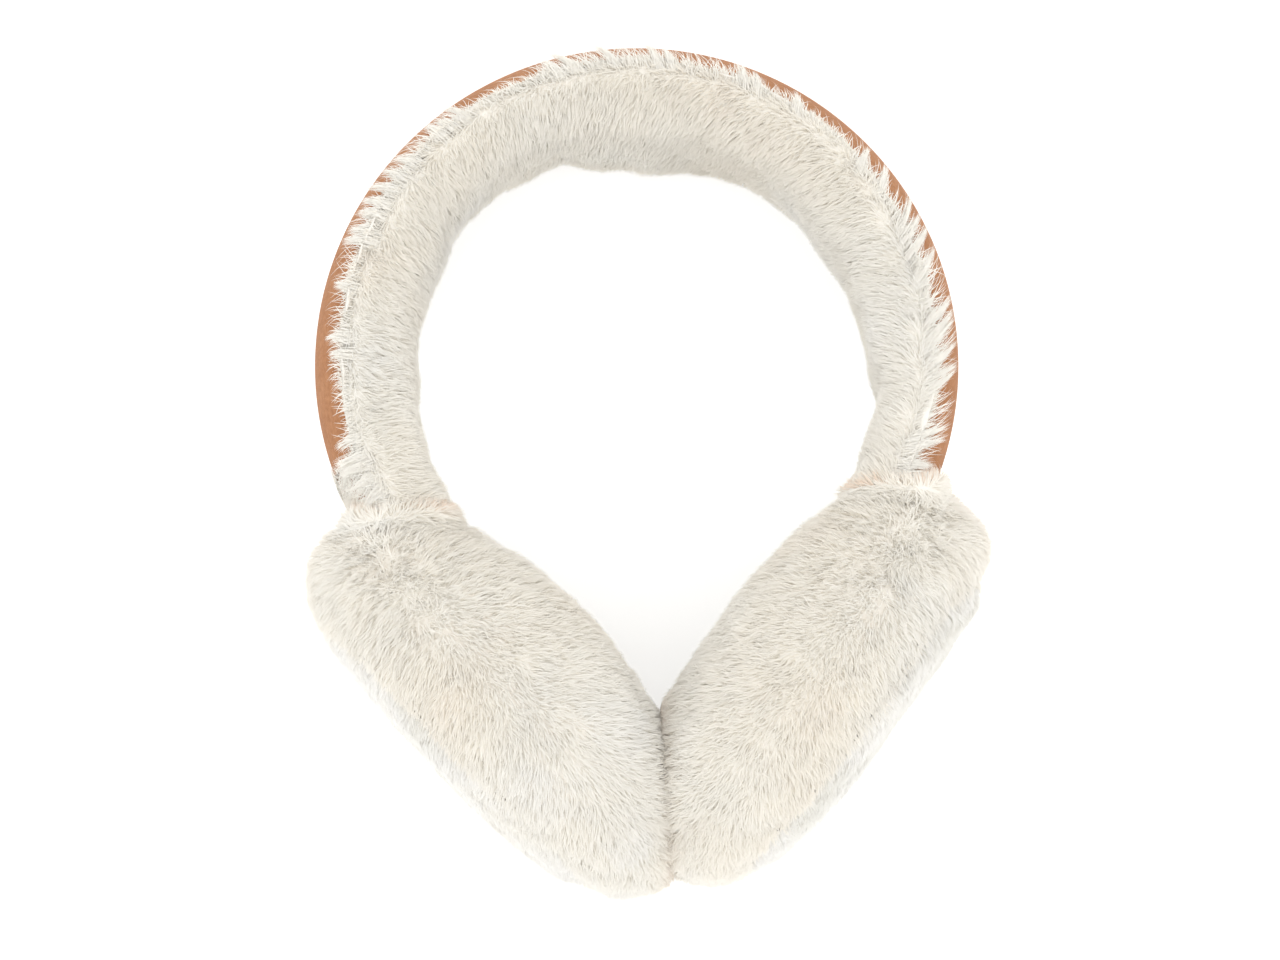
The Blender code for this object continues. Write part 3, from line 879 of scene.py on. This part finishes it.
def wool_tints(points, painted_shade, seed):
    """Tints from 0, the peach of painted shade, through a cool white, to 1, a greyer painted shade:
    patches, tufts and single fibres differ, painted shade in a crease (1 at its bottom) takes them
    down, and painted shade below 0 takes them up towards the grey."""
    rng = np.random.default_rng(seed)
    patches = TINT_SPREADS[0] * rolling(points, TINT_PATCH, seed + 1)
    tufts = TINT_SPREADS[1] * (tuft_of(points, TUFT, seed + 2)[1][:, 3] - 0.5)
    single = TINT_SPREADS[2] * (rng.random(len(points)) - 0.5)
    tints = np.minimum(TINT_MIDDLE + patches + tufts + single, TINT_MOST)
    return tints - TINT_PAINTED_SHADE * painted_shade


def wool(name, points, normals, lays, painted_shade, settle, seed, stretch=1.0):
    """Fibres on the skin at the points: each starts steeply, bends over towards its lay, and
    closes with its tuft. settle keeps them off the table and their own side of a neighbour."""
    rng = np.random.default_rng(seed)
    centres, numbers, _ = tuft_of(points, SMALL_TUFT, seed + 3)
    fibre, tuft = WOOL_SPREADS
    stray = rng.normal(size=points.shape) * fibre + (numbers[:, :3] - 0.5) * tuft
    lays = along_surface(lays + stray, normals)
    lengths = WOOL_LENGTH * stretch * rng.uniform(0.85, 1.15, (len(points), 1))
    spines = [points]
    for rise in np.radians(WOOL_RISES):
        spines.append(spines[-1] + lengths / 2 * (lays * np.cos(rise) + normals * np.sin(rise)))
    for step, share in ((1, WOOL_CLOSING / 2), (2, WOOL_CLOSING)):
        towards = centres - spines[step]
        towards -= (towards * normals).sum(axis=1, keepdims=True) * normals
        spines[step] = spines[step] + share * towards
    spines = settle(np.stack(spines, axis=1))
    across = np.cross(normals, lays)
    roll = rng.uniform(-WOOL_ROLL, WOOL_ROLL, (len(points), 1))
    sides = WOOL_WIDTH / 2 * (across * np.cos(roll) + normals * np.sin(roll))
    return blades(name, spines, sides, wool_tints(points, painted_shade, seed))


def crease_near(values, width):
    """1 where a distance is 0, falling by the power of 1.5 to 0 at the width."""
    return np.clip(1 - np.abs(values) / width, 0, 1) ** 1.5


# The pads' wool is combed away from the neck and to both sides of the pad's crown, and down
# where the pad is steep. By the band it leans onto the band and closes the gap. Painted shade makes
# it darker and peach where the pads meet, at the seam and by the band, and painted shade of the
# cushion's overhang makes the outer panel cooler and greyer, most by the seam. Reaches are in
# metres, and by the band in shares of its half section.
POCKET_BARE = 0.88  # up to this share a pad bears no wool
CROWN_SHIFT = 0.007  # the pads' wool parts this far to the outer side of their middle
CROWN_EASE = 0.4  # of the rise, over which it turns from one side to the other
COMB_AWAY, COMB_ASIDE, COMB_DOWN = 0.8, 0.7, 0.9
TIP_AT_MEETING = -0.0016  # the wool of the two pads mingles
MEETING_REACH = 0.0060
SEAM_SHADE, SEAM_REACH = 0.2, 0.0018
# how much painted shade of the cushion's overhang takes the outer panel's tints up to the greyer
# end, and over what reach from the seam
OUTER_PAINTED_SHADE, OUTER_REACH = 0.72, 0.03
SEAM_SHORTER, SHORTER_REACH = 0.40, 0.003
BAND_SHADE_REACH, GAP_REACH, GAP_LEAN = 0.15, 0.22, 1.5  # the lean is in lengths of the lay

for form, ear_side, points, triangles, free in panels:
    places, normals = strewn(points, triangles, free > 0, WOOL_DENSITY, seed=31 + form.pad.side)
    band = in_band(places)
    outside = band > POCKET_BARE
    places, normals, band = places[outside], normals[outside], band[outside]
    height_over = (places - form.centre) @ form.ear_axis
    slope = np.clip((height_over + CROWN_SHIFT) / EAR_SIDE_RISE / CROWN_EASE, -1, 1)[:, None]
    lays = COMB_AWAY * level(places - form.neck) + COMB_ASIDE * slope * form.ear_axis
    lays = lays - (1 - normals[:, 2:]) * np.array([0, 0, COMB_DOWN])
    # Painted shade, peach and darker: where the pads meet, along the seam and by the band.
    meeting_shade = crease_near(places[:, 0] - MEETING_X, MEETING_REACH)
    seam_height = height_over - OUTER_PANEL + OUTER_SIDE_RISE + SEAM_SHIFT + form.bulge_at(places)
    at_seam = SEAM_SHADE * crease_near(seam_height, SEAM_REACH)
    past_band = np.clip(band - 1, 0, 1)
    painted_shade = np.maximum(np.maximum(meeting_shade, at_seam), crease_near(past_band, BAND_SHADE_REACH))
    # Painted shade of the cushion's overhang on the outer panel: its tints go up towards the greyer
    # end of the ramp, most by the seam.
    painted_shade = painted_shade - (not ear_side) * OUTER_PAINTED_SHADE * crease_near(seam_height, OUTER_REACH)
    stretch = 1 - SEAM_SHORTER * crease_near(seam_height, SHORTER_REACH)[:, None]
    over_gap = crease_near(past_band, GAP_REACH)[:, None]
    to_band = level(places) * (BAND_RADIUS - FLEECE_PILE / 2) - places
    lays = lays * (1 - over_gap) + GAP_LEAN * over_gap * facing(to_band)

    def settle_pad(spines, form=form):
        return form.kept_apart(pressed(spines), TIP_AT_MEETING)

    panel = "cushion" if ear_side else "outer_panel"
    name = f"{form.pad.name}_{panel}_wool"
    pile = wool(name, places, normals, lays, painted_shade, settle_pad, 40 + ear_side, stretch)

# The band's wool parts along a wavy line near the lip, to the suede and to the head, and is
# short by the lip. Depths are shares of the pile, and places by the pads shares of their form.
BAND_DENSITY = 1.15 * WOOL_DENSITY
LINING_BARE = 0.2  # up to this freedom, under the suede, the skin bears no wool
HIDDEN_IN_PAD, PAD_SHADE_FROM, PAD_SHADE_REACH = 0.72, 0.95, 0.20
PARTING, PARTING_WAVE, PARTING_STEP, PARTING_EASE = 0.31, 0.04, 0.009, 0.12
COMB_ROUND = 0.5
EDGE_FROM, EDGE_EASE = 0.42, 0.14
EDGE_SHORTER, EDGE_COVERED = 0.64, 0.10  # the second counts where the locks are thick
PAD_SHORTER = 0.3

band_places, band_normals = strewn(
    lining_points, lining_triangles, lining_free > LINING_BARE, BAND_DENSITY, seed=35
)
in_pads = np.minimum(*[form.inside(band_places) for form in forms])
seen = in_pads > HIDDEN_IN_PAD
band_places, band_normals, in_pads = band_places[seen], band_normals[seen], in_pads[seen]
# Painted shade on the band's wool where it goes into the pads; the same share also makes that wool
# shorter.
band_pad_shade = crease_near(np.maximum(in_pads - PAD_SHADE_FROM, 0), PAD_SHADE_REACH)
radial = level(band_places)
depths = depth_share(band_places)
parting = PARTING + PARTING_WAVE * rolling(band_places, PARTING_STEP, 38)
outward_share = np.clip((parting - depths) / PARTING_EASE, -1, 1)[:, None]
circling = np.stack([-radial[:, 1], radial[:, 0], np.zeros(len(radial))], axis=1)
band_lays = radial * outward_share + COMB_ROUND * circling - np.array([0, 0, COMB_DOWN])
edge_cover = from_table(SPILLS, "share", turn_of(band_places))
at_edge = rising(EDGE_FROM - depths, EDGE_EASE)
edge_shorter = at_edge * (EDGE_SHORTER - EDGE_COVERED * edge_cover)
band_stretch = 1 - np.maximum(edge_shorter, PAD_SHORTER * band_pad_shade)
for part, chosen in (("upper", band_places[:, 2] > 0), ("lower", band_places[:, 2] <= 0)):
    pile = wool(
        f"band_{part}_wool",
        band_places[chosen],
        band_normals[chosen],
        band_lays[chosen],
        band_pad_shade[chosen],
        pressed,
        50 + len(part),
        band_stretch[chosen, None],
    )


# Edge locks. Where the sheepskin is cut along the suede, its longest wool splays out over the
# edge in soft fans that lean one way round, thick in some places and nearly absent in others.
# Short wool lies flat on the suede's end at the left pad and hides it.

LOCK_STEP = 0.0036  # from one lock to the next along the edge
LOCK_FIBRES = 84
LOCK_POINTS = 5
LOCK_SPREAD = 0.0012  # of a lock's fibres at their roots
LOCK_STARTS = (0.0004, 0.0050)  # inside the edge
LOCK_BASE = 0.05  # share of the slope that even the shortest locks reach
LOCK_MOST = 0.97
LOCK_CLUMP = 0.0055  # from thicker to thinner stretches of locks
LOCK_OVER = 0.0024  # the roots stand this far beyond the suede's edge, across the band
LOCK_LIFT = 0.0016
LOCK_DROP = 0.0070
LOCK_BEND = 0.0016
LOCK_FIBRE_WIDTH = 0.00021
LOCK_STRAYS = 3600
STRAY_STARTS = (0.0, 0.003)
STRAY_DROPS = (0.006, 0.012)
LOCK_TINT, LOCK_TINT_SPREAD = 0.68, 0.16
NECK_START = 200.8  # degrees, where the wool begins to hide the suede
NECK_END = 230
NECK_EDGE = 1.5  # degrees before the start, from where fibres are strewn
NECK_DENSITY = 1.8 * WOOL_DENSITY
NECK_WAVE, NECK_WAVE_STEP = 1.3, 0.005  # degrees that the start wanders, and metres
NECK_SHADE_FROM, NECK_SHADE_REACH = 0.93, 0.30
NECK_FLATTENING = 0.75


def lock_fibres(angles, reach, leans, starts, drop, rng):
    """Spines of fibres over the suede's slope. From a start inside the edge, the radius grows
    evenly, the turn by the lean for each way outwards, and the height falls with its square."""
    way = np.linspace(0, 1, LOCK_POINTS)
    edge = suede_radius(SUEDE_WIDTH / 2)
    tips = edge + SUEDE_CROWN * reach
    radii = (edge - starts)[:, None] + (tips - edge + starts)[:, None] * way
    bend = LOCK_BEND * rng.normal(size=(len(angles), 1)) * 0.35 * way**2
    around = leans[:, None] * (radii - edge) * (0.7 + 0.3 * way) + bend
    turned = angles[:, None] + np.degrees(around / BAND_RADIUS)
    lift = rng.uniform(0.0, LOCK_LIFT, (len(angles), 1)) * 4 * way * (1 - way)
    across = SUEDE_WIDTH / 2 + LOCK_OVER + lift - (drop * reach)[:, None] * way**2
    return turned, radii, across


def edge_locks(part, side, seed):
    """Locks and stray fibres along one edge. The fibres of a lock start side by side and close
    towards its tip, and those at its sides are shorter."""
    rng = np.random.default_rng(seed)
    first, last = RIGHT.end_outer + 1, LEFT.end_outer - 0.5
    count = int(np.radians(last - first) * BAND_RADIUS / LOCK_STEP)
    angles = np.linspace(first, last, count) + rng.normal(size=count) * 0.5
    cover = from_table(SPILLS, "share", angles)
    clumps = rolling(polar(angles, BAND_RADIUS, 0), LOCK_CLUMP, seed)
    clumps = clumps + 0.3 * rng.normal(size=count)
    reach = np.clip(0.25 + 0.75 * cover**0.5 + 0.20 * clumps, 0.1, 1.0)
    kept = rng.random(count) < 0.05 + 0.95 * cover * (1 + 0.5 * clumps)
    angles, reach, count = angles[kept], reach[kept], kept.sum()
    own = rng.normal(size=(count, LOCK_FIBRES)) * 0.6
    shorter = 1 - 0.22 * np.abs(own) - 0.55 * rng.random(own.shape) ** 1.5
    reaches = (LOCK_BASE + (LOCK_MOST - LOCK_BASE) * reach[:, None]) * np.clip(shorter, 0.1, 1)
    leans = from_table(SPILLS, "lean", angles)[:, None] - 0.13 * own
    leans = leans + 0.15 * rng.normal(size=(count, 1))
    roots = angles[:, None] + own * np.degrees(LOCK_SPREAD / BAND_RADIUS)
    starts = rng.uniform(*LOCK_STARTS, own.shape)
    drop = np.full(own.shape, LOCK_DROP)

    stray = rng.uniform(first, last, LOCK_STRAYS)
    stray_cover = from_table(SPILLS, "share", stray)
    stray = stray[rng.random(LOCK_STRAYS) < 0.35 + 0.65 * stray_cover]
    stray_cover = from_table(SPILLS, "share", stray)
    stray_reach = (0.04 + 0.96 * rng.random(len(stray)) ** 2) * np.clip(0.35 + stray_cover, 0, 1)
    stray_lean = from_table(SPILLS, "lean", stray) + 0.5 * rng.normal(size=len(stray))
    stray_start = rng.uniform(*STRAY_STARTS, len(stray))
    stray_drop = rng.uniform(*STRAY_DROPS, len(stray))

    locks = (roots, reaches, leans, starts, drop)
    strays = (stray, stray_reach, stray_lean, stray_start, stray_drop)
    both = [np.concatenate([lock.ravel(), loose]) for lock, loose in zip(locks, strays)]
    turned, radii, across = lock_fibres(*both, rng)
    spines = polar(turned, radii, side * across)
    along = facing(spines[:, -1] - spines[:, 0])
    outwards = facing(level(spines[:, -1]) * 0.45 + np.array([0, 0, side]))
    cross = facing(np.cross(outwards, along)) * rng.uniform(0.6, 1.15, (len(spines), 1))
    sides = LOCK_FIBRE_WIDTH / 2 * cross
    tints = LOCK_TINT + LOCK_TINT_SPREAD * (rng.random(len(spines)) - 0.5)
    made = blades(f"{part}_edge_locks", pressed(spines), sides, tints)


edge_locks("upper", 1, seed=61)
edge_locks("lower", -1, seed=62)

outer_side = np.tile(np.arange(len(suede_ring)) < SUEDE_COLUMNS, SUEDE_STATIONS)
suede_turns = turn_of(suede_points)
at_neck = (suede_turns > NECK_START - NECK_EDGE) & (suede_turns < NECK_END)
at_neck = at_neck & np.append(outer_side, [False, False])
neck_places, neck_normals = strewn(suede_points, suede_triangles, at_neck, NECK_DENSITY, seed=36)
wave = NECK_WAVE * rolling(neck_places, NECK_WAVE_STEP, 37)
hidden = turn_of(neck_places) > NECK_START + wave
neck_places, neck_normals = neck_places[hidden], neck_normals[hidden]
neck_along = np.stack([neck_places[:, 1], -neck_places[:, 0], np.zeros(len(neck_places))], axis=1)
# Painted shade on the neck's wool near the left pad.
past_pad = np.maximum(forms[0].inside(neck_places) - NECK_SHADE_FROM, 0)
neck_painted_shade = crease_near(past_pad, NECK_SHADE_REACH)


def settle_neck(spines):
    """Fibres drawn close to the suede: the flattening takes its share of their height."""
    start = spines[:, :1]
    over = ((spines - start) * neck_normals[:, None]).sum(axis=-1, keepdims=True)
    return pressed(spines - NECK_FLATTENING * over * neck_normals[:, None])


neck = wool("left_neck_wool", neck_places, neck_normals, neck_along, neck_painted_shade, settle_neck, 58)
